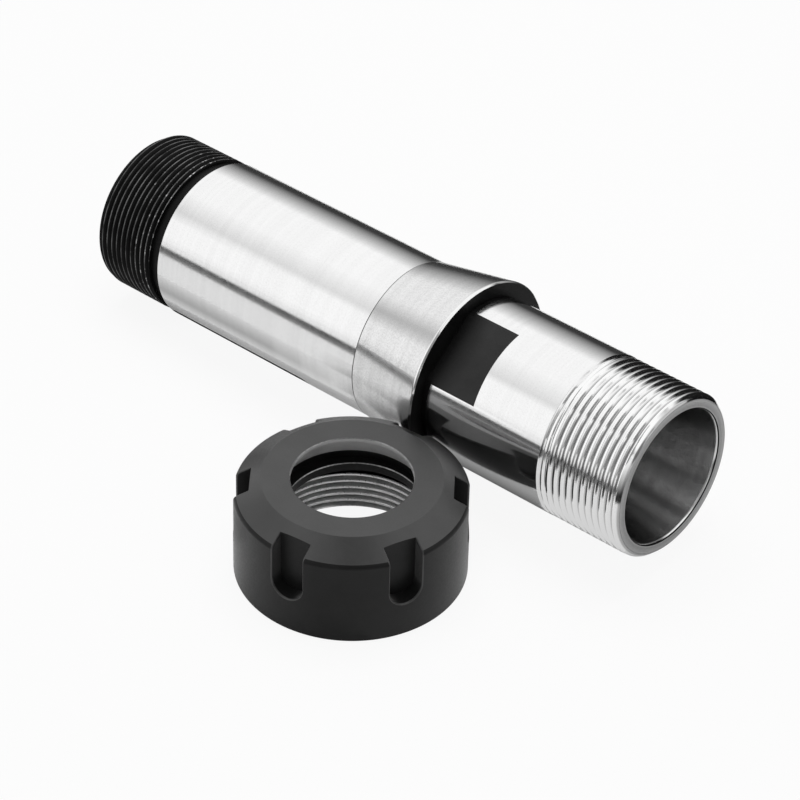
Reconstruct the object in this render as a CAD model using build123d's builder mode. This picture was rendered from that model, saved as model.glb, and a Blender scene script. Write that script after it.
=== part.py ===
"""Collet chuck holder: a threaded, keyed shank with a tapered head and a collet nose, and its clamping nut.

The holder lies on its head rim and on the end of its rear thread, so its nose points slightly up.
The nut has been taken off the nose and rests beside the head, face up.
Millimetres. +Z is up, the holder's nose points towards +X, and Z = 0 is the surface both pieces rest on.
The origin is the middle of the whole layout, on that surface.
"""

from build123d import *
from math import atan2, cos, degrees, radians, sin, sqrt, tan
import os

# Shank: stations are counted along the holder's axis from the front face of the head
shank_length = 83.4
body_diameter = 31.75
body_edge = 0.4
rear_thread_diameter = 31.45
rear_thread_length = 14.2
rear_thread_chamfer = 0.8
rear_relief_width = 2.1
rear_relief_depth = 0.75

# Keyway: milled into the ground body, its angle counted from the top towards -Y
keyway_width = 3.3
keyway_depth = 1.5
keyway_length = 35.4
keyway_rear_margin = 0.6
keyway_angle = 130.0

# Head: a seating cone that ends in a narrow rim
head_diameter = 37.4
head_half_angle = 10.0
rim_width = 0.55
rim_chamfer = 0.25

# Neck with two wrench flats on opposite sides, cut up to the head
neck_diameter = 31.8
neck_relief_width = 1.1
neck_relief_depth = 0.35
flat_length = 11.4
flat_across = 27.9
flat_angle = 36.0

# Threaded nose, with a turned groove where its thread starts
nose_length = 45.3
nose_thread_diameter = 31.7
nose_thread_length = 17.2
nose_chamfer = 0.85
nose_groove_width = 0.8
nose_groove_depth = 0.5

# Collet seat in the nose and the bore behind it
seat_mouth_diameter = 26.0
seat_half_angle = 8.0
seat_length = 27.0
mouth_chamfer = 0.4
bore_diameter = 17.0
bore_chamfer = 0.8

# Clamping nut: heights are counted from its threaded back face
nut_diameter = 42.0
nut_height = 20.0
nut_face_diameter = 32.3
nut_cone_height = 3.0
nut_shoulder_radius = 1.0
nut_back_chamfer = 0.3
nut_opening_diameter = 21.8
nut_opening_land = 0.7
nut_seat_diameter = 26.6
nut_seat_height = 4.0
groove_diameter = 28.4
groove_height = 2.3
lip_diameter = 24.8
lip_height = 1.7
lip_offset = 0.55
lip_offset_angle = 50.0
thread_relief_diameter = 32.4
thread_relief_height = 2.8
nut_thread_diameter = 30.38
nut_thread_entry = 0.8

# Six wrench slots round the nut, open at its front face
slot_count = 6
slot_width = 6.2
slot_floor_distance = 18.0
slot_end_height = 7.1
first_slot_angle = 39.6

# Layout: where the nut rests, and the gap left between the nut's edge and the head
nut_ahead_of_head = 3.9
nut_gap = 0.25

os.makedirs("parts", exist_ok=True)

body_r = body_diameter / 2
rear_thread_r = rear_thread_diameter / 2
head_r = head_diameter / 2
neck_r = neck_diameter / 2
nose_thread_r = nose_thread_diameter / 2
seat_mouth_r = seat_mouth_diameter / 2
bore_r = bore_diameter / 2
nut_r = nut_diameter / 2

rear_end = -shank_length
rear_thread_end = rear_end + rear_thread_length
body_start = rear_thread_end + rear_relief_width
rim_rear = -rim_width
cone_start = rim_rear - (head_r - body_r) / tan(radians(head_half_angle))
nose_thread_start = nose_length - nose_thread_length
seat_end = nose_length - seat_length
seat_end_r = seat_mouth_r - (seat_length - mouth_chamfer) * tan(radians(seat_half_angle))

# The holder tilts until its rim and the edge of its rear thread both touch the surface
contact_length = (shank_length - rear_thread_chamfer) - rim_width
tilt = atan2(head_r - rear_thread_r, contact_length)
head_height = head_r * cos(tilt) + rim_width * sin(tilt)

nut_shoulder = nut_height - nut_cone_height
slot_step = 360 / slot_count


def head_half_width(station):
    """Half width of the holder at a station near the head, at the height of the nut's shoulder."""
    if station > 0:
        radius = neck_r
    else:
        radius = min(head_r, max(body_r, head_r + (station - rim_rear) * tan(radians(head_half_angle))))
    return sqrt(radius**2 - (head_height - nut_shoulder) ** 2)


def nut_edge(angle):
    """Distance from the nut's centre to its plan outline at an angle; a slot reaches in to its floor."""
    from_slot = (angle - first_slot_angle + slot_step / 2) % slot_step - slot_step / 2
    in_slot = nut_r * sin(radians(abs(from_slot))) < slot_width / 2
    return slot_floor_distance / cos(radians(from_slot)) if in_slot else nut_r


# The nut is slid up to the head until its outline, slots counted, is one gap away from it
spacing = nut_gap + max(
    nut_edge(angle) * sin(radians(angle))
    + head_half_width(nut_ahead_of_head + nut_edge(angle) * cos(radians(angle)))
    for angle in range(0, 181)
)

# Placing both pieces round the middle of the layout
rear_reach = shank_length * cos(tilt) + (rear_thread_r - rear_thread_chamfer) * sin(tilt)
nose_reach = nose_length * cos(tilt) + (nose_thread_r - nose_chamfer) * sin(tilt)
head_x = (rear_reach - nose_reach) / 2
head_y = (spacing + nut_r - head_r) / 2
head_centre = Vector(head_x, head_y, head_height)
nut_centre = Vector(head_x + nut_ahead_of_head, head_y - spacing, 0)

forward = Vector(cos(tilt), 0, sin(tilt))
across = Vector(0, -1, 0)
upward = Vector(-sin(tilt), 0, cos(tilt))
holder_axis = Axis(head_centre, forward)
holder_section = Plane(head_centre, x_dir=forward, z_dir=across)
nut_axis = Axis(nut_centre, (0, 0, 1))
nut_section = Plane(nut_centre, x_dir=(1, 0, 0), z_dir=(0, -1, 0))


def around(angle):
    """Direction square to the holder's axis, at an angle from the top towards -Y."""
    return upward * cos(radians(angle)) + across * sin(radians(angle))


with BuildPart() as holder_body:
    # Outside of the turned blank, from the rear end to the nose
    with BuildSketch(holder_section):
        with BuildLine():
            Polyline(
                (rear_end, 0),
                (rear_end, rear_thread_r - rear_thread_chamfer),
                (rear_end + rear_thread_chamfer, rear_thread_r),
                (rear_thread_end, rear_thread_r),
                (rear_thread_end, rear_thread_r - rear_relief_depth),
                (body_start, rear_thread_r - rear_relief_depth),
                (body_start, body_r - body_edge),
                (body_start + body_edge, body_r),
                (cone_start, body_r),
                (rim_rear, head_r),
                (-rim_chamfer, head_r),
                (0, head_r - rim_chamfer),
                (0, neck_r - neck_relief_depth),
                (neck_relief_width, neck_r - neck_relief_depth),
                (neck_relief_width, neck_r),
                (nose_thread_start - nose_groove_width, neck_r),
                (nose_thread_start - nose_groove_width / 2, nose_thread_r - nose_groove_depth),
                (nose_thread_start, nose_thread_r),
                (nose_length - nose_chamfer, nose_thread_r),
                (nose_length, nose_thread_r - nose_chamfer),
                (nose_length, 0),
                close=True,
            )
        make_face()
    revolve(axis=holder_axis)

    # Tapered collet seat, open at the nose, and the plain bore behind it
    with BuildSketch(holder_section):
        with BuildLine():
            Polyline(
                (rear_end, 0),
                (rear_end, bore_r + bore_chamfer),
                (rear_end + bore_chamfer, bore_r),
                (seat_end, bore_r),
                (seat_end, seat_end_r),
                (nose_length - mouth_chamfer, seat_mouth_r),
                (nose_length, seat_mouth_r + mouth_chamfer),
                (nose_length, 0),
                close=True,
            )
        make_face()
    revolve(axis=holder_axis, mode=Mode.SUBTRACT)

    # Keyway with round ends
    keyway_middle = body_start + keyway_rear_margin + keyway_length / 2
    keyway_floor = head_centre + forward * keyway_middle + around(keyway_angle) * (body_r - keyway_depth)
    with BuildSketch(Plane(keyway_floor, x_dir=forward, z_dir=around(keyway_angle))):
        SlotOverall(keyway_length, keyway_width)
    extrude(amount=2 * keyway_depth, mode=Mode.SUBTRACT)

    # Wrench flats on both sides of the neck
    for flat_side in (flat_angle, flat_angle + 180):
        flat_middle = head_centre + forward * (flat_length / 2) + around(flat_side) * (flat_across / 2)
        with BuildSketch(Plane(flat_middle, x_dir=forward, z_dir=around(flat_side))):
            Rectangle(flat_length, neck_diameter)
        extrude(amount=neck_r - flat_across / 2, mode=Mode.SUBTRACT)

with BuildPart() as clamping_nut:
    # Outside: a cylinder with a wide cone towards the front face
    with BuildSketch(nut_section) as nut_outline:
        with BuildLine():
            Polyline(
                (0, 0),
                (nut_r - nut_back_chamfer, 0),
                (nut_r, nut_back_chamfer),
                (nut_r, nut_shoulder),
                (nut_face_diameter / 2, nut_height),
                (0, nut_height),
                close=True,
            )
        make_face()
        fillet(nut_outline.vertices().group_by(Axis.X)[-1].sort_by(Axis.Y)[-1], nut_shoulder_radius)
    revolve(axis=nut_axis)

    # Thread bore from the back face, with a wider relief above it
    seat_low = nut_height - nut_opening_land - nut_seat_height
    groove_low = seat_low - groove_height
    lip_low = groove_low - lip_height
    relief_low = lip_low - thread_relief_height
    nut_thread_r = nut_thread_diameter / 2
    with BuildSketch(nut_section):
        with BuildLine():
            Polyline(
                (0, 0),
                (nut_thread_r + nut_thread_entry, 0),
                (nut_thread_r, nut_thread_entry),
                (nut_thread_r, relief_low),
                (thread_relief_diameter / 2, relief_low),
                (thread_relief_diameter / 2, lip_low),
                (0, lip_low),
                close=True,
            )
        make_face()
    revolve(axis=nut_axis, mode=Mode.SUBTRACT)

    # The lip that draws the collet out is round but off centre
    lip_plane = Plane(nut_centre + Vector(0, 0, lip_low))
    lip_shift = lip_offset * Vector(cos(radians(lip_offset_angle)), sin(radians(lip_offset_angle)))
    with BuildSketch(lip_plane):
        with Locations(lip_shift):
            Circle(lip_diameter / 2)
    extrude(amount=lip_height, mode=Mode.SUBTRACT)

    # Collet groove, seating cone and front opening
    with BuildSketch(nut_section):
        with BuildLine():
            Polyline(
                (0, groove_low),
                (groove_diameter / 2, groove_low),
                (groove_diameter / 2, seat_low),
                (nut_seat_diameter / 2, seat_low),
                (nut_opening_diameter / 2, nut_height - nut_opening_land),
                (nut_opening_diameter / 2, nut_height),
                (0, nut_height),
                close=True,
            )
        make_face()
    revolve(axis=nut_axis, mode=Mode.SUBTRACT)

    # Wrench slots: flat floored, round at the lower end, open at the front face
    slot_reach = nut_height + slot_width - slot_end_height
    for index in range(slot_count):
        slot_angle = radians(first_slot_angle + index * slot_step)
        outward = Vector(cos(slot_angle), sin(slot_angle), 0)
        slot_middle = nut_centre + outward * slot_floor_distance + Vector(0, 0, slot_end_height + slot_reach / 2)
        with BuildSketch(Plane(slot_middle, x_dir=(0, 0, 1), z_dir=outward)):
            SlotOverall(slot_reach, slot_width)
        extrude(amount=nut_r - slot_floor_distance + slot_width, mode=Mode.SUBTRACT)

holder_body.part.label = "holder_body"
clamping_nut.part.label = "clamping_nut"
export_step(holder_body.part, "parts/holder_body.step")
export_step(clamping_nut.part, "parts/clamping_nut.step")

print(f"tilt {degrees(tilt):.3f} degrees, head centre {head_x:.3f} {head_y:.3f} {head_height:.3f}")
print(f"nut centre {nut_centre.X:.3f} {nut_centre.Y:.3f}, overlap {(holder_body.part & clamping_nut.part).volume:.4f}")
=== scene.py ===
"""Finished surfaces and real threads of the collet chuck holder and its clamping nut, in a plain studio.

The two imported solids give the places. Each is replaced by a closed mesh of the same named sizes, which
adds the helical threads, small broken edges and the finishes. Sizes are millimetres until a mesh is
written, which is in metres like the frame.
"""

from math import acos, atan2, cos, pi, radians, sin, sqrt, tan

import bmesh
import bpy
from mathutils import Matrix, Vector


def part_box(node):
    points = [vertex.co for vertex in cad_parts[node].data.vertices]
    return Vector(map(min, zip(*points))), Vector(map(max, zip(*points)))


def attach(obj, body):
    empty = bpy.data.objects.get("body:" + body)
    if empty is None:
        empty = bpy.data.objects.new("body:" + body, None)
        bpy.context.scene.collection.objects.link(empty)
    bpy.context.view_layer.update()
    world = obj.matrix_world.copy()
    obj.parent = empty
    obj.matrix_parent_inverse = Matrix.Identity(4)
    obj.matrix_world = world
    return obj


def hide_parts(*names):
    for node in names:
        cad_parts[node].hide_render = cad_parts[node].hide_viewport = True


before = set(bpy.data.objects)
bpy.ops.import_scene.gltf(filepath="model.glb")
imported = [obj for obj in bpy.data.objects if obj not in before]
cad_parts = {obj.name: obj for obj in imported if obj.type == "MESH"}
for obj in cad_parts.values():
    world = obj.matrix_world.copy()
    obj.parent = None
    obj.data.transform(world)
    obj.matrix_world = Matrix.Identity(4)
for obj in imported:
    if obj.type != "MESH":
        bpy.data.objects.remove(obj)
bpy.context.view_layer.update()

MM = 0.001
SEGMENTS = 240
FLANK_SLOPE = tan(radians(60))

# Holder: stations are counted along its axis from the front face of the head
shank_length = 83.4
body_r = 31.75 / 2
body_edge = 0.4
rear_thread_r = 31.45 / 2
rear_thread_length = 14.2
rear_thread_chamfer = 0.8
rear_thread_pitch = 25.4 / 20
rear_face_inset = 0.05
rear_relief_width = 2.1
rear_relief_depth = 0.75

keyway_width = 3.3
keyway_depth = 1.5
keyway_length = 35.4
keyway_rear_margin = 0.6
keyway_angle = radians(130)

head_r = 37.4 / 2
head_half_angle = radians(10)
rim_width = 0.55
rim_chamfer = 0.25
cone_line_width = 0.2
cone_line_depth = 0.08

neck_r = 31.8 / 2
neck_relief_width = 1.1
neck_relief_depth = 0.35
neck_edge_round = 0.2
flat_length = 11.4
flat_half = 27.9 / 2
flat_angle = radians(36)

nose_length = 45.3
nose_thread_r = 31.7 / 2
nose_thread_length = 17.2
nose_thread_pitch = 1.5
nose_chamfer = 0.85
nose_face_inset = 0.08
nose_groove_width = 0.8
nose_groove_depth = 0.5
nose_groove_rounding = 0.08

seat_mouth_r = 26.0 / 2
seat_half_angle = radians(8)
seat_length = 27.0
mouth_chamfer = 0.4
mouth_edge = 0.2
mouth_rim = 0.35
bore_r = 17.0 / 2
bore_chamfer = 0.8

# Clamping nut: heights are counted from its threaded back face
nut_r = 42.0 / 2
nut_height = 20.0
nut_face_r = 32.3 / 2
nut_face_rounding = 0.3
nut_cone_height = 3.0
nut_shoulder_radius = 1.0
nut_back_chamfer = 0.3
nut_opening_r = 21.8 / 2
nut_opening_land = 0.7
nut_opening_edge = 0.14
nut_seat_r = 26.6 / 2
nut_seat_height = 4.0
groove_r = 28.4 / 2
groove_height = 2.3
lip_r = 24.8 / 2
lip_height = 1.7
lip_edge = 0.15
lip_offset = 0.55
lip_offset_angle = radians(50)
thread_relief_r = 32.4 / 2
thread_relief_height = 2.8
nut_thread_r = 30.38 / 2
nut_thread_root_r = 32.0 / 2
nut_thread_entry = 0.8
nut_back_inset = 0.02
slot_count = 6
slot_width = 6.2
slot_floor = 18.0
slot_end_height = 7.1
first_slot_angle = radians(39.6)
slot_edge = 0.35

# Thread forms: depths and crests as shares of the pitch, the nose's run-out in turns of its thread, and
# the blend where a thread meets its blank
rear_depth_share = 0.6134
rear_crest_share = 1 / 8
nose_depth_share = 0.45
nose_crest_share = 0.28
nut_crest_share = 1 / 4
nose_run_out_turns = 0.8
thread_blend = 0.05

# Small roundings that both pieces use
sharp_rounding = 0.1
soft_rounding = 0.15

# Stations and heights that follow from those sizes
rear_end = -shank_length
rear_thread_end = rear_end + rear_thread_length
body_start = rear_thread_end + rear_relief_width
cone_start = -rim_width - (head_r - body_r) / tan(head_half_angle)
nose_thread_start = nose_length - nose_thread_length
nose_groove_bottom = nose_thread_start - nose_groove_width / 2
seat_start = nose_length - mouth_edge - mouth_rim
seat_end = nose_length - seat_length
seat_end_r = seat_mouth_r - (seat_length - mouth_chamfer) * tan(seat_half_angle)
nut_shoulder = nut_height - nut_cone_height
seat_low = nut_height - nut_opening_land - nut_seat_height
groove_low = seat_low - groove_height
lip_low = groove_low - lip_height
relief_low = lip_low - thread_relief_height

# Places of the two pieces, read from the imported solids
holder_low, holder_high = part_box("holder_body")
nut_low, nut_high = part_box("clamping_nut")
tilt = atan2(head_r - rear_thread_r, shank_length - rear_thread_chamfer - rim_width)
nose_reach = nose_length * cos(tilt) + (nose_thread_r - nose_chamfer) * sin(tilt)
head_centre = Vector((
    holder_high.x / MM - nose_reach,
    (holder_low.y + holder_high.y) / 2 / MM,
    head_r * cos(tilt) + rim_width * sin(tilt),
))
nut_foot = Vector(((nut_low.x + nut_high.x) / 2 / MM, (nut_low.y + nut_high.y) / 2 / MM, 0))


def frame_matrix(origin, x_axis, y_axis, z_axis):
    """Matrix that carries coordinates along these axes, counted from the origin, into the row frame."""
    turn = Matrix((x_axis, y_axis, z_axis)).transposed().to_4x4()
    return Matrix.Translation(origin) @ turn


# Each piece's own Z is its axis. The holder's own X points up, and its own Y towards the nut.
holder_frame = frame_matrix(
    head_centre,
    Vector((-sin(tilt), 0, cos(tilt))),
    Vector((0, -1, 0)),
    Vector((cos(tilt), 0, sin(tilt))),
)
nut_frame = frame_matrix(nut_foot, Vector((1, 0, 0)), Vector((0, 1, 0)), Vector((0, 0, 1)))


# Shapes

def rounded(corners, steps=4):
    """Outline through (station, radius) corners; one with a third number is rounded to about that radius."""
    points = []
    for index, corner in enumerate(corners):
        here = Vector(corner[:2])
        if len(corner) == 2:
            points.append(corner)
            continue
        rounding = corner[2]
        before = Vector(corners[index - 1][:2]) - here
        after = Vector(corners[index + 1][:2]) - here
        half = before.angle(after) / 2
        reach = min(rounding / tan(half), before.length * 0.49, after.length * 0.49)
        arc_r = reach * tan(half)
        middle = here + (before.normalized() + after.normalized()).normalized() * (arc_r / sin(half))
        first = here + before.normalized() * reach - middle
        last = here + after.normalized() * reach - middle
        for step in range(steps + 1):
            points.append(tuple(middle + first.lerp(last, step / steps).normalized() * arc_r))
    return points


def soft_min(a, b, blend):
    """The smaller of two lengths, with the corner between them rounded over a blend."""
    near = max(blend - abs(a - b), 0) / blend
    return min(a, b) - near * near * blend / 4


def soft_max(a, b, blend):
    """The larger of two lengths, rounded in the same way."""
    return -soft_min(-a, -b, blend)


class Thread:
    """The form of a 60 degree thread with round roots; its crest is a share of its pitch."""

    def __init__(self, pitch, depth, crest):
        self.pitch = pitch
        self.depth = depth
        reach = FLANK_SLOPE * (1 - crest) / 2 * pitch
        self.root = (reach**2 - depth**2) / (2 * depth)
        # Rows of points over a pitch, closest together at the edges of the crest and next to the root
        half = crest / 2
        shares = [share * half for share in (0, 0.85, 0.96, 1.1)] + [0.36, 0.44, 0.5]
        self.shares = shares + [1 - share for share in shares[-2:0:-1]]

    def above_root(self, phase):
        """Height above the groove's round root; phase 0 is the middle of a crest and 0.5 the root."""
        from_root = (phase - 0.5) * self.pitch
        return sqrt((FLANK_SLOPE * from_root) ** 2 + self.root**2) - self.root


class Skin:
    """A closed skin of rings round the Z axis, in millimetres, each joined to the ring before it."""

    def __init__(self, special_angles=()):
        self.angles = [2 * pi * i / SEGMENTS for i in range(SEGMENTS)]
        for angle in special_angles:
            angle %= 2 * pi
            self.angles[round(angle / (2 * pi) * SEGMENTS) % SEGMENTS] = angle
        self.mesh = bmesh.new()
        self.last = None
        self.first = None

    def row(self, places):
        """A row of points at (station, radius, angle) places."""
        point = self.mesh.verts.new
        return [point((r * cos(angle), r * sin(angle), station)) for station, r, angle in places]

    def band(self, low, high, finish, wrap=True):
        """Faces between two rows of points, closed round the axis or left open."""
        for i in range(len(low) if wrap else len(low) - 1):
            j = (i + 1) % len(low)
            face = self.mesh.faces.new((low[i], low[j], high[j], high[i]))
            face.material_index = finish

    def ring(self, station, radius, finish):
        """Adds a ring, whose radius is a number or a function of the angle.

        The band between it and the ring before takes the finish.
        """
        at = radius if callable(radius) else lambda angle: radius
        points = self.row([(station, at(angle), angle) for angle in self.angles])
        if self.last:
            self.band(self.last, points, finish)
        self.first = self.first or points
        self.last = points

    def outline(self, corners, finish):
        """Adds a ring at each point of an outline, whose corners are rounded as rounded() says."""
        for station, r in rounded(corners):
            self.ring(station, r, finish)

    def thread(self, start, end, form, radius_at, finish):
        """Adds a right-handed helical stretch from start to end, whose rows of points follow the helix.

        radius_at(station, height) gives the radius, where height is that of the thread above its root.
        """
        around = self.angles + [2 * pi]
        previous = None
        for turn in range(-1, int((end - start) / form.pitch) + 2):
            for share in form.shares:
                places = []
                for angle in around:
                    along = (turn + share + angle / (2 * pi)) * form.pitch
                    station = min(max(start + along, start), end)
                    phase = ((station - start) / form.pitch - angle / (2 * pi)) % 1
                    places.append((station, radius_at(station, form.above_root(phase)), angle))
                points = self.row(places)
                if previous:
                    self.band(previous, points, finish, wrap=False)
                elif self.last:
                    self.band(self.last, points[:-1], finish)
                previous = points
        self.last = points[:-1]

    def close(self, finish):
        """Joins the last ring to the first."""
        self.band(self.last, self.first, finish)

    def to_piece(self, name, matrix, finishes):
        """Welds the skin and makes it an object, placed in the row frame in metres."""
        bmesh.ops.remove_doubles(self.mesh, verts=self.mesh.verts, dist=0.0004)
        bmesh.ops.dissolve_degenerate(self.mesh, edges=self.mesh.edges, dist=0.0002)
        bmesh.ops.recalc_face_normals(self.mesh, faces=self.mesh.faces)
        return make_piece(name, self.mesh, matrix, finishes)


def make_piece(name, mesh, matrix, finishes):
    """An object in metres from a mesh in a piece's own millimetres."""
    mesh.transform(Matrix.Scale(MM, 4))
    data = bpy.data.meshes.new(name)
    mesh.to_mesh(data)
    mesh.free()
    piece = bpy.data.objects.new(name, data)
    turn = matrix.copy()
    turn.translation = matrix.translation * MM
    piece.matrix_world = turn
    for finish in finishes:
        data.materials.append(finish)
    bpy.context.scene.collection.objects.link(piece)
    return piece


def stadium(length, width, steps=16):
    """Points (along, across) of a round-ended outline round its middle."""
    points = []
    for end in (1, -1):
        for step in range(steps + 1):
            turn = -pi / 2 + pi * step / steps
            along = (length - width) / 2 + width / 2 * cos(turn)
            points.append((end * along, end * width / 2 * sin(turn)))
    return points


def cutter_from(loops, matrix, finish, edge_finish, finishes):
    """A closed cutter from loops of points, each joined to the next, with a flat face at both ends.

    The first end face and band, a recess's floor and walls, take the finish, and the rest the edge's.
    """
    mesh = bmesh.new()
    rows = [[mesh.verts.new(point) for point in loop] for loop in loops]
    mesh.faces.new(rows[0]).material_index = finish
    mesh.faces.new(rows[-1]).material_index = edge_finish
    for index, (low, high) in enumerate(zip(rows, rows[1:])):
        for i in range(len(low)):
            j = (i + 1) % len(low)
            face = mesh.faces.new((low[i], low[j], high[j], high[i]))
            face.material_index = finish if index == 0 else edge_finish
    bmesh.ops.recalc_face_normals(mesh, faces=mesh.faces)
    return make_piece("cutter", mesh, matrix, finishes)


def cut(piece, cutters):
    """Cuts the cutters out of a piece for good."""
    for cutter in cutters:
        step = piece.modifiers.new("cut", "BOOLEAN")
        step.operation = "DIFFERENCE"
        step.solver = "EXACT"
        step.object = cutter
    shape = bpy.data.meshes.new_from_object(piece.evaluated_get(bpy.context.evaluated_depsgraph_get()))
    piece.modifiers.clear()
    piece.data = shape
    for cutter in cutters:
        bpy.data.objects.remove(cutter)


def finish_edges(piece):
    """Smooth shading led by the broad faces, with real edges left sharp."""
    piece.data.shade_smooth()
    piece.data.set_sharp_from_angle(angle=radians(35))
    shading = piece.modifiers.new("shading", "WEIGHTED_NORMAL")
    shading.mode = "FACE_AREA"
    shading.weight = 80
    shading.keep_sharp = True


# Materials, all in each piece's own coordinates; a grey is one number from 0 to 1

def grey(value):
    return (value, value, value, 1)


def tree_and_shader(made):
    return made.node_tree, made.node_tree.nodes["Principled BSDF"]


def new_material(name):
    made = bpy.data.materials.new(name)
    made.use_nodes = True
    return made, *tree_and_shader(made)


def grain(tree, scale, detail=4.0):
    """Noise without direction; a larger scale makes it finer."""
    place = tree.nodes.new("ShaderNodeTexCoord")
    noise = tree.nodes.new("ShaderNodeTexNoise")
    noise.inputs["Scale"].default_value = scale
    noise.inputs["Detail"].default_value = detail
    tree.links.new(place.outputs["Object"], noise.inputs["Vector"])
    return noise.outputs["Fac"]


def remap(tree, source, low, high, to_low, to_high):
    """Runs evenly from to_low to to_high while the source goes from low to high, and no further."""
    spread = tree.nodes.new("ShaderNodeMapRange")
    spread.inputs["From Min"].default_value = low
    spread.inputs["From Max"].default_value = high
    spread.inputs["To Min"].default_value = to_low
    spread.inputs["To Max"].default_value = to_high
    tree.links.new(source, spread.inputs["Value"])
    return spread.outputs["Result"]


def combine(tree, operation, first, second):
    result = tree.nodes.new("ShaderNodeMath")
    result.operation = operation
    tree.links.new(first, result.inputs[0])
    tree.links.new(second, result.inputs[1])
    return result.outputs[0]


def mixed(tree, share, first, second):
    """The first colour at share 0 and the second at share 1. Each is a grey or the socket of a node."""
    mix = tree.nodes.new("ShaderNodeMix")
    mix.data_type = "RGBA"
    tree.links.new(share, mix.inputs[0])
    for colour, socket in ((first, mix.inputs[6]), (second, mix.inputs[7])):
        if isinstance(colour, float):
            socket.default_value = grey(colour)
        else:
            tree.links.new(colour, socket)
    return mix.outputs[2]


def radius_from_axis(tree):
    place = tree.nodes.new("ShaderNodeTexCoord")
    flat = tree.nodes.new("ShaderNodeVectorMath")
    flat.operation = "MULTIPLY"
    flat.inputs[1].default_value = (1, 1, 0)
    length = tree.nodes.new("ShaderNodeVectorMath")
    length.operation = "LENGTH"
    tree.links.new(place.outputs["Object"], flat.inputs[0])
    tree.links.new(flat.outputs[0], length.inputs[0])
    return length.outputs["Value"]


def place_along(tree, axis):
    place = tree.nodes.new("ShaderNodeTexCoord")
    apart = tree.nodes.new("ShaderNodeSeparateXYZ")
    tree.links.new(place.outputs["Object"], apart.inputs[0])
    return apart.outputs[axis]


def turning_marks(tree, scale):
    """Rings that a lathe or grinder leaves: noise by radius and station only, so it runs round the axis."""
    across = tree.nodes.new("ShaderNodeCombineXYZ")
    tree.links.new(radius_from_axis(tree), across.inputs["X"])
    tree.links.new(place_along(tree, "Z"), across.inputs["Z"])
    noise = tree.nodes.new("ShaderNodeTexNoise")
    noise.inputs["Scale"].default_value = scale
    noise.inputs["Detail"].default_value = 3.0
    tree.links.new(across.outputs["Vector"], noise.inputs["Vector"])
    return noise.outputs["Fac"]


def relief(tree, shader, source, height):
    """Raises a fine grain by a height in metres."""
    bump = tree.nodes.new("ShaderNodeBump")
    bump.inputs["Distance"].default_value = height
    tree.links.new(source, bump.inputs["Height"])
    tree.links.new(bump.outputs["Normal"], shader.inputs["Normal"])


def run_round_axis(tree, shader, anisotropy):
    """Makes the shine that of marks running round the axis."""
    shader.inputs["Anisotropic"].default_value = anisotropy
    shader.inputs["Anisotropic Rotation"].default_value = 0.25
    tangent = tree.nodes.new("ShaderNodeTangent")
    tangent.direction_type = "RADIAL"
    tangent.axis = "Z"
    tree.links.new(tangent.outputs["Tangent"], shader.inputs["Tangent"])


def turned_steel(name, greys, roughness, marks, anisotropy, speckle=0.25, specks=3000):
    """Bare steel, ground or turned round the piece's axis: faint rings, and a fine speckle between them.

    Greys go from dark to light, and roughness from smooth to rough. Marks and specks are noise scales, and
    speckle is the share that the specks have in the pattern.
    """
    made, tree, shader = new_material(name)
    smooth, rough = roughness
    rings = remap(tree, turning_marks(tree, marks), 0.3, 0.7, 0, 1 - speckle)
    dots = remap(tree, grain(tree, specks, 2.0), 0.35, 0.65, 0, speckle)
    both = combine(tree, "ADD", rings, dots)
    tree.links.new(mixed(tree, both, *greys), shader.inputs["Base Color"])
    tree.links.new(remap(tree, both, 0, 1, rough, smooth), shader.inputs["Roughness"])
    relief(tree, shader, both, 0.000001)
    shader.inputs["Metallic"].default_value = 1.0
    run_round_axis(tree, shader, anisotropy)
    return made


def thread_steel_with_painted_groove_shade(name, shade_darkest_r, shade_end_r, greys, roughness):
    """Bare steel of a cut thread, with painted shade that darkens the bottom of its grooves."""
    made, tree, shader = new_material(name)
    height = remap(tree, radius_from_axis(tree), shade_darkest_r * MM, shade_end_r * MM, 0, 1)
    fine = grain(tree, 1500, 2.0)
    tree.links.new(mixed(tree, height, *greys), shader.inputs["Base Color"])
    tree.links.new(remap(tree, fine, 0.3, 0.7, *roughness), shader.inputs["Roughness"])
    shader.inputs["Metallic"].default_value = 1.0
    return made


def black_oxide(name, greys, roughness, gloss):
    """Blackened steel with a fine matt grain and faint clouds."""
    made, tree, shader = new_material(name)
    fine = grain(tree, 2500, 3.0)
    clouds = remap(tree, grain(tree, 160), 0.3, 0.7, 0, 1)
    tree.links.new(mixed(tree, clouds, *greys), shader.inputs["Base Color"])
    tree.links.new(remap(tree, fine, 0.3, 0.7, *roughness), shader.inputs["Roughness"])
    relief(tree, shader, fine, 0.000004)
    shader.inputs["Specular IOR Level"].default_value = gloss
    return made


def painted_shade_before(made, station_from, station_to, dark):
    """Darkens a material towards lower stations, as painted shade where it meets a corner."""
    tree, shader = tree_and_shader(made)
    base = shader.inputs["Base Color"]
    along = remap(tree, place_along(tree, "Z"), station_from * MM, station_to * MM, 0, 1)
    tree.links.new(mixed(tree, along, dark, base.links[0].from_socket), base)


def add_dusty_sheen(made, weight):
    """A dusty sheen at grazing angles."""
    _, shader = tree_and_shader(made)
    shader.inputs["Sheen Weight"].default_value = weight
    shader.inputs["Sheen Roughness"].default_value = 0.35


def rubbed(tree, scale, patch, amount):
    """How far a finish is rubbed off from place to place, over a range of the noise and of the rub."""
    return remap(tree, grain(tree, scale), *patch, *amount)


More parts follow.
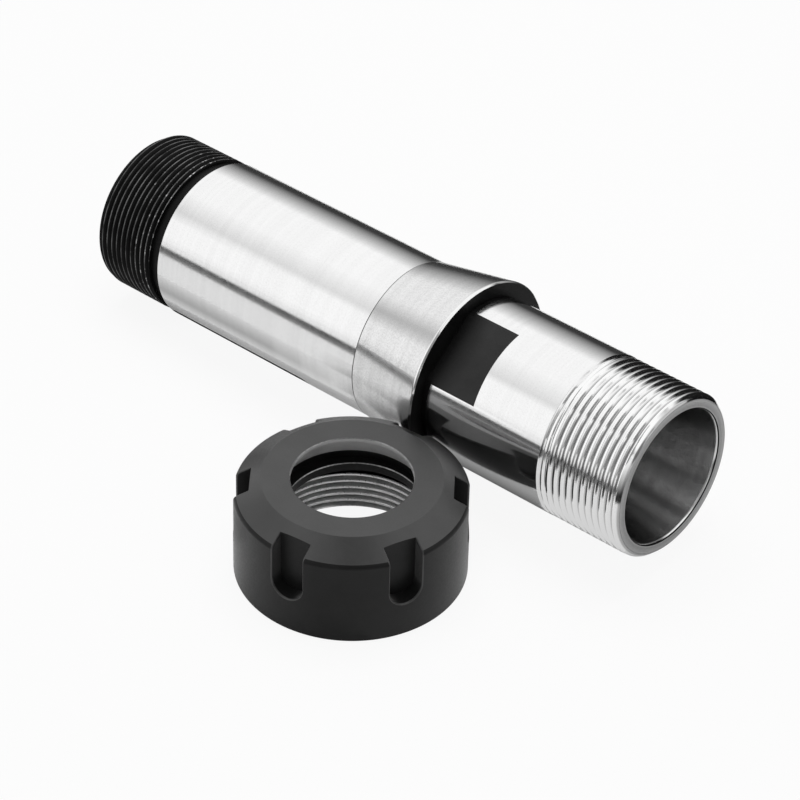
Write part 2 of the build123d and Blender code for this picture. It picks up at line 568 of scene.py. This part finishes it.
def wear_to_steel(made, covered_r, bare_r, amount, bare):
    """Lets bare steel show through a blackened material where its radius nears the crests."""
    tree, shader = tree_and_shader(made)
    base = shader.inputs["Base Color"]
    near_crest = remap(tree, radius_from_axis(tree), covered_r * MM, bare_r * MM, 0, 1)
    worn = combine(tree, "MULTIPLY", near_crest, amount)
    tree.links.new(mixed(tree, worn, base.links[0].from_socket, bare), base)
    tree.links.new(worn, shader.inputs["Metallic"])


def rear_thread_wear(tree):
    """A thin even rub along every crest, and bright glints on the last crests before the body."""
    glint_length = 7
    even = rubbed(tree, 300, patch=(0.35, 0.7), amount=(0.03, 0.26))
    glints = rubbed(tree, 1100, patch=(0.55, 0.66), amount=(0, 1))
    glint_start = rear_thread_end - glint_length
    to_body = remap(tree, place_along(tree, "Z"), glint_start * MM, rear_thread_end * MM, 0.1, 1)
    return combine(tree, "MAXIMUM", even, combine(tree, "MULTIPLY", glints, to_body))


def make_flat_black():
    """The wrench flats' blackening, with painted shade darkest in the corner by the head."""
    shade_length = 5
    made = black_oxide("flat_black_painted_shade", (0.02, 0.032), (0.45, 0.6), gloss=0.22)
    # Painted shade on the flats, darkest by the head's relief
    painted_shade_before(made, neck_relief_width, neck_relief_width + shade_length, 0.004)
    return made


def make_rear_black():
    """The rear thread's blackening, rubbed through along its crests."""
    covered_depth = 0.1
    bare_depth = 0.02
    made = black_oxide("rear_thread_black", (0.003, 0.006), (0.35, 0.5), gloss=0.12)
    amount = rear_thread_wear(made.node_tree)
    wear_to_steel(made, rear_thread_r - covered_depth, rear_thread_r - bare_depth, amount, 0.75)
    return made


def make_nut_black():
    made = black_oxide("nut_black", (0.004, 0.008), (0.34, 0.46), gloss=0.2)
    add_dusty_sheen(made, 0.4)
    return made


def make_nut_thread_black():
    """The nut thread's finish, rubbed bright along its crests, which point inwards."""
    covered_depth = 0.2
    bare_depth = 0.03
    made = black_oxide("nut_thread_black", (0.3, 0.45), (0.25, 0.35), gloss=1.0)
    amount = rubbed(made.node_tree, 700, patch=(0.3, 0.5), amount=(0.7, 1))
    wear_to_steel(made, nut_thread_r + covered_depth, nut_thread_r + bare_depth, amount, 0.9)
    return made


def make_nose_thread_steel():
    # Painted shade in the bottom of the nose thread's grooves, between these depths below the crests
    shade_darkest_depth = 0.66
    shade_end_depth = 0.45
    shade_darkest_r = nose_thread_r - shade_darkest_depth
    shade_end_r = nose_thread_r - shade_end_depth
    return thread_steel_with_painted_groove_shade("nose_thread_steel_painted_shade", shade_darkest_r, shade_end_r, (0.5, 0.97), (0.09, 0.17))


holder_finishes = [
    turned_steel("ground_steel", (0.87, 0.95), (0.1, 0.18), marks=1100, anisotropy=0.7, speckle=0.4),
    turned_steel("cone_steel", (0.7, 0.88), (0.12, 0.22), marks=700, anisotropy=0.7, speckle=0.5),
    turned_steel("neck_steel", (0.87, 0.95), (0.09, 0.16), marks=1100, anisotropy=0.75, speckle=0.4),
    # Nose thread steel with painted shade in its grooves
    make_nose_thread_steel(),
    turned_steel("nose_face_steel", (0.22, 0.46), (0.24, 0.4), marks=2500, anisotropy=0.3),
    # Painted highlight: a lighter copy of the bore's steel for the mouth's rim
    turned_steel("mouth_rim_painted_highlight", (0.8, 0.95), (0.15, 0.25), marks=2500, anisotropy=0.2),
    turned_steel(
        "bore_steel", (0.26, 0.84), (0.12, 0.26), marks=600, anisotropy=0.6, speckle=0.75, specks=4500
    ),
    make_rear_black(),
    black_oxide("recess_black", (0.003, 0.007), (0.4, 0.55), gloss=0.12),
    make_flat_black(),
]
GROUND, CONE, NECK, NOSE, NOSE_FACE, RIM_PAINTED_HIGHLIGHT, BORE, REAR, RECESS, FLAT = range(len(holder_finishes))

nut_finishes = [
    make_nut_black(),
    # Painted light: a lighter, glossier copy of the nut's black for its front face and cone
    black_oxide("nut_face_black_painted_light", (0.011, 0.02), (0.3, 0.42), gloss=0.85),
    black_oxide("nut_seat_black", (0.46, 0.6), (0.3, 0.4), gloss=1.0),
    turned_steel("nut_edge_steel", (0.08, 0.4), (0.25, 0.4), marks=1500, anisotropy=0.0, speckle=0.6),
    make_nut_thread_black(),
    # Painted highlight: a lighter, glossier copy of the nut's black on the slots' rounded edges
    black_oxide("nut_slot_edge_painted_highlight", (0.016, 0.035), (0.3, 0.4), gloss=0.7),
]
SIDE, FACE, SEAT, EDGE, NUT_THREAD, SLOT_EDGE_PAINTED_HIGHLIGHT = range(len(nut_finishes))


# Holder, from its rear face over the outside to the nose, and back through the bore

rear_thread = Thread(rear_thread_pitch, rear_depth_share * rear_thread_pitch, rear_crest_share)
nose_thread = Thread(nose_thread_pitch, nose_depth_share * nose_thread_pitch, nose_crest_share)


def flat_edge_angles():
    """Angles where the wrench flats meet the neck and its relief."""
    reaches = [acos(flat_half / r) for r in (neck_r, neck_r - neck_relief_depth)]
    return [flat_angle + side + sign * reach for side in (0, pi) for sign in (1, -1) for reach in reaches]


def with_flats(radius):
    """Radius at an angle, where both wrench flats cut the round."""

    def at(angle):
        reach = max(abs(cos(angle - flat_angle)), 0.01)
        return min(radius, flat_half / reach)

    return at


def rear_thread_radius(station, height):
    """Radius of the rear thread on its chamfered blank."""
    blank = min(rear_thread_r, rear_thread_r - rear_thread_chamfer + station - rear_end)
    return soft_min(blank, rear_thread_r - rear_thread.depth + height, thread_blend)


def nose_blank(station):
    """Turned outside of the nose: the V groove's side, then the thread's crest, then the front chamfer."""
    past_start = station - nose_thread_start
    groove_side = nose_thread_r + past_start * nose_groove_depth / (nose_groove_width / 2)
    chamfer = nose_thread_r + nose_length - nose_chamfer - station
    return min(groove_side, nose_thread_r, chamfer)


def nose_thread_radius(station, height):
    """Radius of the threaded nose, whose grooves run out to nothing at the V groove."""
    past_start = station - nose_thread_start
    run_out = max(1 - past_start / (nose_run_out_turns * nose_thread_pitch), 0) * nose_thread.depth
    return soft_min(nose_blank(station), nose_thread_r - nose_thread.depth + run_out + height, thread_blend)


def add_rear_thread(skin):
    """Rear face, thread, and the relief between it and the shank."""
    relief_r = rear_thread_r - rear_relief_depth
    skin.ring(rear_end, bore_r + bore_chamfer, REAR)
    skin.ring(rear_end, rear_thread_r - rear_thread_chamfer - rear_face_inset, REAR)
    skin.thread(rear_end, rear_thread_end, rear_thread, rear_thread_radius, REAR)
    skin.outline(
        [
            (rear_thread_end, relief_r),
            (body_start, relief_r, soft_rounding),
            (body_start, body_r - body_edge),
        ],
        REAR,
    )


def add_shank(skin):
    """Ground shank, up to the bottom of the hairline where the cone starts."""
    skin.outline(
        [
            (body_start, body_r - body_edge),
            (body_start + body_edge, body_r, soft_rounding),
            (cone_start - cone_line_width / 2, body_r),
        ],
        GROUND,
    )
    skin.ring(cone_start, body_r - cone_line_depth, NOSE_FACE)


def add_head(skin):
    """Far side of the hairline, seating cone and rim."""
    half_line = cone_line_width / 2
    skin.ring(cone_start + half_line, body_r + half_line * tan(head_half_angle), NOSE_FACE)
    skin.ring(-rim_width, head_r, CONE)
    skin.outline(
        [
            (-rim_width, head_r),
            (-rim_chamfer, head_r, sharp_rounding),
            (0, head_r - rim_chamfer),
        ],
        GROUND,
    )


def add_neck(skin):
    """Head's front face, relief, and the neck with its wrench flats up to the V groove's bottom."""
    skin.ring(0, with_flats(neck_r - neck_relief_depth), RECESS)
    skin.ring(neck_relief_width, with_flats(neck_r - neck_relief_depth), RECESS)
    skin.ring(neck_relief_width, with_flats(neck_r - neck_edge_round), RECESS)
    skin.ring(neck_relief_width + neck_edge_round, with_flats(neck_r), NECK)
    skin.ring(flat_length, with_flats(neck_r), NECK)
    skin.outline(
        [
            (flat_length, neck_r),
            (nose_thread_start - nose_groove_width, neck_r, nose_groove_rounding),
            (nose_groove_bottom, nose_thread_r - nose_groove_depth),
        ],
        NECK,
    )


def add_nose(skin):
    """Threaded nose, its face and the broken edges of the mouth, whose chamfer takes the recess black as a
    painted dark reflection and whose rim a lighter steel as a painted highlight.
    """
    mouth_outer_r = seat_mouth_r + mouth_chamfer
    skin.thread(nose_groove_bottom, nose_length, nose_thread, nose_thread_radius, NOSE)
    skin.ring(nose_length, nose_thread_r - nose_chamfer - nose_face_inset, NOSE_FACE)
    skin.ring(nose_length, mouth_outer_r, NOSE_FACE)
    # Painted dark reflection on the mouth's chamfer, then a painted highlight on the rim inside it
    skin.ring(nose_length - mouth_edge, mouth_outer_r - mouth_edge, RECESS)
    skin.ring(seat_start, seat_mouth_r, RIM_PAINTED_HIGHLIGHT)


def add_bore(skin):
    """Collet seat, and the bore behind it to the rear chamfer."""
    skin.outline(
        [
            (seat_start, seat_mouth_r),
            (seat_end, seat_end_r),
            (seat_end, bore_r, sharp_rounding),
            (rear_end + bore_chamfer, bore_r, sharp_rounding),
            (rear_end, bore_r + bore_chamfer),
        ],
        BORE,
    )


def blacken_flats(piece):
    """Gives the faces that lie on a wrench flat their own finish."""
    for face in piece.data.polygons:
        middle = face.center / MM
        from_axis = abs(middle.x * cos(flat_angle) + middle.y * sin(flat_angle))
        on_flat = abs(from_axis - flat_half) < 0.02
        if on_flat and 0 < middle.z < flat_length - 0.001:
            face.material_index = FLAT


def keyway_cutter():
    out = Vector((cos(keyway_angle), sin(keyway_angle), 0))
    side = Vector((-sin(keyway_angle), cos(keyway_angle), 0))
    middle = Vector((0, 0, body_start + keyway_rear_margin + keyway_length / 2))
    loops = [
        [
            middle + Vector((0, 0, along)) + side * across + out * level
            for along, across in stadium(keyway_length, keyway_width)
        ]
        for level in (body_r - keyway_depth, body_r + keyway_depth)
    ]
    return cutter_from(loops, holder_frame, RECESS, RECESS, holder_finishes)


def build_holder():
    skin = Skin(flat_edge_angles())
    for add in (add_rear_thread, add_shank, add_head, add_neck, add_nose, add_bore):
        add(skin)
    skin.close(BORE)
    piece = skin.to_piece("holder_visual", holder_frame, holder_finishes)
    blacken_flats(piece)
    cut(piece, [keyway_cutter()])
    finish_edges(piece)
    return piece


# Clamping nut, from its back face up its inside, over the front face and down its outside

nut_thread = Thread(nose_thread_pitch, nut_thread_root_r - nut_thread_r, nut_crest_share)
nut_outside = rounded(
    [
        (nut_height, nut_opening_r + nut_opening_edge),
        (nut_height, nut_face_r, nut_face_rounding),
        (nut_shoulder, nut_r, nut_shoulder_radius),
        (nut_back_chamfer, nut_r, soft_rounding),
        (0, nut_r - nut_back_chamfer),
    ],
    steps=6,
)


def nut_thread_radius(station, height):
    """Radius of the nut's thread, with its entry chamfer at the back face."""
    entry = nut_thread_r + max(nut_thread_entry - station, 0)
    return soft_max(entry, nut_thread_root_r - height, thread_blend)


def lip_radius(angle):
    """Distance from the nut's axis to the lip's circle, which is off centre."""
    turn = angle - lip_offset_angle
    return lip_offset * cos(turn) + sqrt(lip_r**2 - (lip_offset * sin(turn)) ** 2)


def add_nut_thread(skin):
    """Thread and the relief above it."""
    skin.ring(0, nut_thread_root_r + nut_back_inset, SIDE)
    skin.thread(0, relief_low, nut_thread, nut_thread_radius, NUT_THREAD)
    skin.outline(
        [
            (relief_low, nut_thread_r),
            (relief_low, thread_relief_r),
            (lip_low, thread_relief_r),
        ],
        SIDE,
    )


def add_lip(skin):
    """Off-centre lip with its broken upper edge, and the collet groove above it."""
    skin.ring(lip_low, lip_radius, SIDE)
    skin.ring(groove_low - lip_edge, lip_radius, SIDE)
    skin.ring(groove_low, lambda angle: lip_radius(angle) + lip_edge, EDGE)
    skin.outline([(groove_low, groove_r), (seat_low, groove_r), (seat_low, nut_seat_r)], SIDE)


def add_opening(skin):
    """Seating cone, and the opening in the front face."""
    skin.outline(
        [
            (seat_low, nut_seat_r),
            (nut_height - nut_opening_land, nut_opening_r, sharp_rounding),
            (nut_height - nut_opening_edge, nut_opening_r),
        ],
        SEAT,
    )
    skin.ring(nut_height, nut_opening_r + nut_opening_edge, EDGE)


def add_nut_outside(skin):
    """Front face and cone in a lighter copy of the nut's black as painted light, down to just above the
    shoulder, and then the side, whose darker finish on the shoulder's rounding is a painted dark line.
    """
    painted_light_rise = 0.28
    for station, r in nut_outside:
        skin.ring(station, r, FACE if station > nut_shoulder + painted_light_rise else SIDE)


def nut_outer_radius(height):
    """Radius of the nut's outside at a height; above its front face it stays that of the face's edge."""
    for (high, high_r), (low, low_r) in zip(nut_outside[1:], nut_outside[2:]):
        if low <= height <= high and high > low:
            return low_r + (high_r - low_r) * (height - low) / (high - low)
    return nut_face_r if height > nut_height else nut_r


def slot_path():
    """Outline of a slot seen from outside: across, height, and the direction away from the slot there."""
    arc_steps = 24
    wall_step = 0.3
    wall_points = 40
    arc_height = slot_end_height + slot_width / 2
    rises = [wall_step * step for step in range(wall_points)]
    path = [(-slot_width / 2, arc_height + rise, -1, 0) for rise in rises[::-1]]
    for step in range(1, arc_steps):
        turn = pi + pi * step / arc_steps
        out, up = cos(turn), sin(turn)
        path.append((slot_width / 2 * out, arc_height + slot_width / 2 * up, out, up))
    return path + [(slot_width / 2, arc_height + rise, 1, 0) for rise in rises]


def slot_edge_profile(edge_end):
    """How far a slot's rounded edge has opened and how deep it lies below the outside, from loop to loop."""
    above_outside = 0.03
    profile = []
    for turn in (0, radians(30), radians(60)):
        profile.append((slot_edge * (1 - cos(turn)), slot_edge * (1 - sin(turn))))
    return profile + [(edge_end, -above_outside)]


def slot_cutter(angle):
    """A slot's cutter: walls from its flat floor, then a rounded edge that follows the nut's outside."""
    edge_end = slot_edge * 0.95
    least_rise = 0.02
    beyond_edge = 0.01
    beyond_nut = 2
    outward = Vector((cos(angle), sin(angle), 0))
    sideways = Vector((-sin(angle), cos(angle), 0))
    path = slot_path()
    loops = [[sideways * x + outward * slot_floor + Vector((0, 0, z)) for x, z, _, _ in path]]
    for index, (out, depth) in enumerate(slot_edge_profile(edge_end)):
        loop = []
        for x, z, x_out, z_out in path:
            across, height = x + out * x_out, z + out * z_out
            reach = sqrt((nut_outer_radius(height) - depth) ** 2 - across**2)
            reach = max(reach, slot_floor + least_rise * (index + 1))
            loop.append(sideways * across + outward * reach + Vector((0, 0, height)))
        loops.append(loop)
    out = edge_end + beyond_edge
    loops.append([
        sideways * (x + out * x_out) + outward * (nut_r + beyond_nut) + Vector((0, 0, z + out * z_out))
        for x, z, x_out, z_out in path
    ])
    # The slot's rounded edge takes the painted highlight finish
    return cutter_from(loops, nut_frame, SIDE, SLOT_EDGE_PAINTED_HIGHLIGHT, nut_finishes)


def build_nut():
    skin = Skin()
    for add in (add_nut_thread, add_lip, add_opening, add_nut_outside):
        add(skin)
    skin.close(SIDE)
    piece = skin.to_piece("nut_visual", nut_frame, nut_finishes)
    cut(piece, [slot_cutter(first_slot_angle + index * 2 * pi / slot_count) for index in range(slot_count)])
    finish_edges(piece)
    return piece


holder_piece = build_holder()
nut_piece = build_nut()

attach(holder_piece, "root")
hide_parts("holder_body")
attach(nut_piece, "root")
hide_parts("clamping_nut")


# Floor

def ray_is(tree, *kinds):
    """1 for rays of these kinds and 0 for others."""
    path = tree.nodes.new("ShaderNodeLightPath")
    found = path.outputs[kinds[0]]
    for kind in kinds[1:]:
        found = combine(tree, "MAXIMUM", found, path.outputs[kind])
    return found


def floor_finish():
    """Pale, nearly white to the camera, a little lighter in reflections, and keeping the object's shadow."""
    made, tree, shader = new_material("floor")
    shader.inputs["Base Color"].default_value = grey(0.78)
    shader.inputs["Roughness"].default_value = 0.9
    shader.inputs["Specular IOR Level"].default_value = 0.0
    white = tree.nodes.new("ShaderNodeEmission")
    white.inputs["Color"].default_value = grey(1)
    to_camera = remap(tree, ray_is(tree, "Is Camera Ray"), 0, 1, 0, 0.91)
    in_reflections = remap(tree, ray_is(tree, "Is Glossy Ray", "Is Transmission Ray"), 0, 1, 0, 0.15)
    blend = tree.nodes.new("ShaderNodeMixShader")
    tree.links.new(combine(tree, "MAXIMUM", to_camera, in_reflections), blend.inputs[0])
    tree.links.new(shader.outputs[0], blend.inputs[1])
    tree.links.new(white.outputs[0], blend.inputs[2])
    tree.links.new(blend.outputs[0], tree.nodes["Material Output"].inputs["Surface"])
    return made


def stage_plane(name, corners, material):
    """A four-cornered plane of the studio, which isn't part of the object."""
    data = bpy.data.meshes.new(name)
    data.from_pydata([tuple(Vector(corner) * MM) for corner in corners], [], [(0, 1, 2, 3)])
    plane = bpy.data.objects.new(name, data)
    data.materials.append(material)
    bpy.context.scene.collection.objects.link(plane)
    return plane


def level_sheet(x_from, y_from, x_to, y_to, height):
    return [(x_from, y_from, height), (x_to, y_from, height), (x_to, y_to, height), (x_from, y_to, height)]


floor_reach = 4000
stage_plane("floor", level_sheet(-floor_reach, -floor_reach, floor_reach, floor_reach, 0), floor_finish())


# Cards round, above and under the object, which shape what the bare steel reflects

def glow_along(name, axis, span, levels):
    """A glow that runs evenly between two levels over a span of places along an axis; level 1 is white."""
    made = bpy.data.materials.new(name)
    made.use_nodes = True
    tree = made.node_tree
    tree.nodes.clear()
    glow = tree.nodes.new("ShaderNodeEmission")
    output = tree.nodes.new("ShaderNodeOutputMaterial")
    start, end = span
    level = remap(tree, place_along(tree, axis), start * MM, end * MM, *levels)
    tree.links.new(level, glow.inputs["Strength"])
    tree.links.new(glow.outputs[0], output.inputs["Surface"])
    return made


def card(name, corners, axis, span, levels):
    """A studio card that only reflections show."""
    plane = stage_plane(name, corners, glow_along(name, axis, span, levels))
    plane.visible_camera = False
    plane.visible_diffuse = False
    plane.visible_shadow = False
    plane.visible_transmission = False
    plane.visible_volume_scatter = False


def upright(x_from, y_from, x_to, y_to, low, high):
    return [(x_from, y_from, low), (x_to, y_to, low), (x_to, y_to, high), (x_from, y_from, high)]


def on_floor(*places):
    """A sheet a hair above the floor, through four places."""
    hair = 0.2
    return [(x, y, hair) for x, y in places]


def painted_shadow_under_shank(index, rear, front, darkest):
    """Two sheets on the floor, seen only in reflections, that put a painted shadow, a soft dark line, along
    the shank's lower side, between two of its stations.

    One station reflects a slanting line of the floor, whose x is the station plus the lead at each y.
    """
    outer_y, line_y, inner_y = -13, -0.6, 5
    outer_lead, line_lead, inner_lead = 3.5, 9, 11.5
    outer_level, inner_level = 0.7, 0.66
    outer = [(rear + outer_lead, outer_y), (front + outer_lead, outer_y)]
    line = [(rear + line_lead, line_y), (front + line_lead, line_y)]
    inner = [(rear + inner_lead, inner_y), (front + inner_lead, inner_y)]
    streak = on_floor(*outer, *line[::-1])
    glow = on_floor(*line, *inner[::-1])
    card(f"under_body_painted_shadow_line_{index}", streak, "Y", (outer_y, line_y), (outer_level, darkest))
    card(f"under_body_painted_shadow_fade_{index}", glow, "Y", (line_y, inner_y), (darkest, inner_level))


card("behind", upright(-420, 88, 40, 88, 0.1, 90), "Z", (28, 90), (0.04, 1.0))
card("behind_nose", upright(40, 88, 260, 88, 0.1, 90), "Z", (58, 72), (0.01, 1.0))
# Sheets on the floor seen only in reflections: painted light on the floor under the nose, and painted shade
# of the floor under the neck, cone and head
card("painted_light_under_nose", on_floor((40, -40), (110, -40), (110, 10), (40, 10)), "Y", (-40, 10), (0.8, 0.64))
card("painted_shade_under_neck", on_floor((8, -1), (40, -1), (40, 14), (8, 14)), "Y", (3, 12), (0.32, 0.13))
card("painted_shade_under_cone", on_floor((-34, -40), (1, -40), (1, -13), (-22, -13)), "X", (-22, -6), (0.68, 0.15))
card("painted_shade_under_head", on_floor((-14, -13), (1, -13), (1, 2), (-12, 2)), "X", (-12, -2), (0.66, 0.2))
painted_shadow_under_shank(0, -85, -36, 0.38)
painted_shadow_under_shank(1, -36, -29, 0.46)
painted_shadow_under_shank(2, -29, -22, 0.54)
painted_shadow_under_shank(3, -22, -17, 0.6)
card("front_edge", upright(-420, -118, 130, -118, 0.1, 24), "Z", (0, 24), (0.25, 0.01))
card("front_haze", upright(-420, -119, 80, -119, 24, 60), "Z", (24, 60), (0.8, 1.0))
card("camera_side", upright(20, -330, 330, -60, 0.1, 460), "Z", (0, 460), (0.15, 0.4))
card("right_back", upright(150, 20, 150, 280, 0.1, 95), "Y", (52, 110), (1.0, 0.02))
card("right_front", upright(110, -60, 110, 22, 0.1, 50), "Z", (12, 50), (0.02, 1.0))
card("overhead_seam", level_sheet(-330, -177, -110, 0, 300), "Y", (-177, 0), (0.76, 1.0))
card("overhead_rise", level_sheet(-330, -250, -110, -177, 300), "Y", (-250, -177), (1.0, 0.76))
card("far_seam", level_sheet(-900, -118, -330, 20, 300), "Y", (-118, 20), (0.5, 0.95))
card("far_rise", level_sheet(-900, -290, -330, -118, 300), "Y", (-290, -118), (0.95, 0.5))
card("zenith", level_sheet(10, -180, 190, 20, 400), "Y", (-180, 20), (0.15, 0.3))


# Light: a white studio at half strength, and one broad soft lamp above

def light_studio():
    """A world that is white to the camera and in reflections, and lights the object at half that."""
    world = bpy.data.worlds.new("studio")
    bpy.context.scene.world = world
    world.use_nodes = True
    tree = world.node_tree
    background = tree.nodes["Background"]
    background.inputs["Color"].default_value = grey(1)
    shown = ray_is(tree, "Is Camera Ray", "Is Glossy Ray", "Is Transmission Ray")
    tree.links.new(remap(tree, shown, 0, 1, 0.5, 1.0), background.inputs["Strength"])


def hang_lamp():
    lamp_size = 420
    lamp_place = Vector((-40, 60, 520))
    lamp_power = 1.5
    data = bpy.data.lights.new("top_lamp", "AREA")
    data.shape = "DISK"
    data.size = lamp_size * MM
    data.energy = lamp_power
    lamp = bpy.data.objects.new("top_lamp", data)
    lamp.location = lamp_place * MM
    lamp.visible_glossy = False
    lamp.visible_camera = False
    bpy.context.scene.collection.objects.link(lamp)


light_studio()
hang_lamp()


# Camera: it looks as the photograph does, from where the nut's foot has its place in that view

def place_camera():
    azimuth = radians(40.924)
    elevation = radians(37.583)
    roll = radians(1.481)
    nut_in_view = Vector((-8.076, -36.789, 636.599))
    data = bpy.data.cameras.new("camera")
    data.sensor_width = 36
    data.lens = 160.0
    data.shift_x = 0.00525
    data.shift_y = -0.05276
    data.clip_start = 0.01
    data.clip_end = 20
    camera = bpy.data.objects.new("camera", data)
    bpy.context.scene.collection.objects.link(camera)
    bpy.context.scene.camera = camera
    looking = Vector((
        -sin(azimuth) * cos(elevation),
        cos(azimuth) * cos(elevation),
        -sin(elevation),
    ))
    level_right = Vector((cos(azimuth), sin(azimuth), 0))
    level_up = level_right.cross(looking)
    right = cos(roll) * level_right + sin(roll) * level_up
    up = cos(roll) * level_up - sin(roll) * level_right
    place = nut_foot - nut_in_view.x * right - nut_in_view.y * up - nut_in_view.z * looking
    camera.matrix_world = frame_matrix(place * MM, right, up, -looking)


place_camera()
bpy.context.scene.view_settings.view_transform = "Standard"
